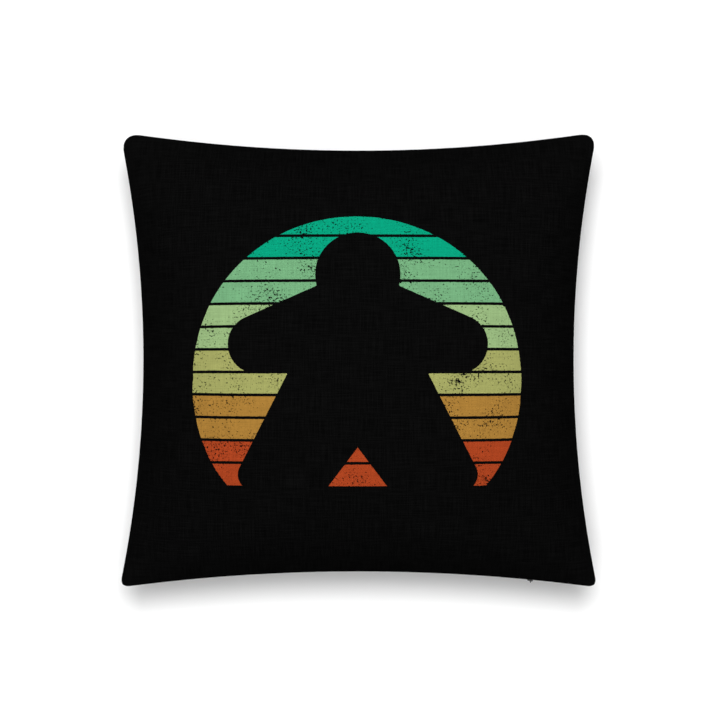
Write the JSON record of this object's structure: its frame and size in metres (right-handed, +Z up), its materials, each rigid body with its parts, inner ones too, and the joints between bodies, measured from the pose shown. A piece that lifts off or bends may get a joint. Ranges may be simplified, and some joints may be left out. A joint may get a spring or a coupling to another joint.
{
  "type": "throw pillow",
  "caption": "Square throw pillow with a zipped black cloth cover, printed with a striped sunset disc and a pawn silhouette, over a removable filled insert.",
  "frame": {"origin": "middle of the whole object, on the flat face that it lies on", "axes": "+Z up out of the printed face, +Y towards the top of the print, the zipper in the -Y side"},
  "size_m": [0.4558, 0.4342, 0.145],
  "materials": {
    "cover_front": "matt printed cloth",
    "cover_back": "matt plain cloth",
    "thread": "matt",
    "zipper_tape": "matt woven tape",
    "zipper_coil": "satin nylon",
    "zipper_metal": "satin black",
    "insert_casing": "matt cotton",
    "insert_thread": "matt",
    "filling": "loose fibre"
  },
  "bodies": {
    "cushion": {"front_panel": "cover_front", "back_panel": "cover_back", "seam_thread": "thread", "zipper_tape_front": "zipper_tape", "zipper_tape_back": "zipper_tape", "zipper_coil_front": "zipper_coil", "zipper_coil_back": "zipper_coil", "zipper_top_stop": "zipper_metal", "zipper_bottom_stop": "zipper_metal", "insert_front": "insert_casing", "insert_back": "insert_casing", "insert_thread": "insert_thread", "insert_fill": "filling"},
    "slider": {"zipper_slider": "zipper_metal"},
    "ring": {"zipper_ring": "zipper_metal"},
    "pull": {"zipper_pull": "zipper_metal"}
  },
  "joints": [
    {"name": "slider_travel", "type": "hinge", "parent": "cushion", "child": "slider", "pos_m": [0, -1.9165, 0.07], "axis": [0, 0, 1], "range_deg": [0, 11.1]},
    {"name": "ring_turn", "type": "hinge", "parent": "slider", "child": "ring", "pos_m": [0.16564, -0.21133, 0.067], "axis": [0.0967, 0.9953, 0], "range_deg": [-60, 60]},
    {"name": "pull_swing", "type": "hinge", "parent": "ring", "child": "pull", "pos_m": [0.16564, -0.21133, 0.0652], "axis": [0.9953, -0.0967, 0], "range_deg": [-80, 5]}
  ]
}
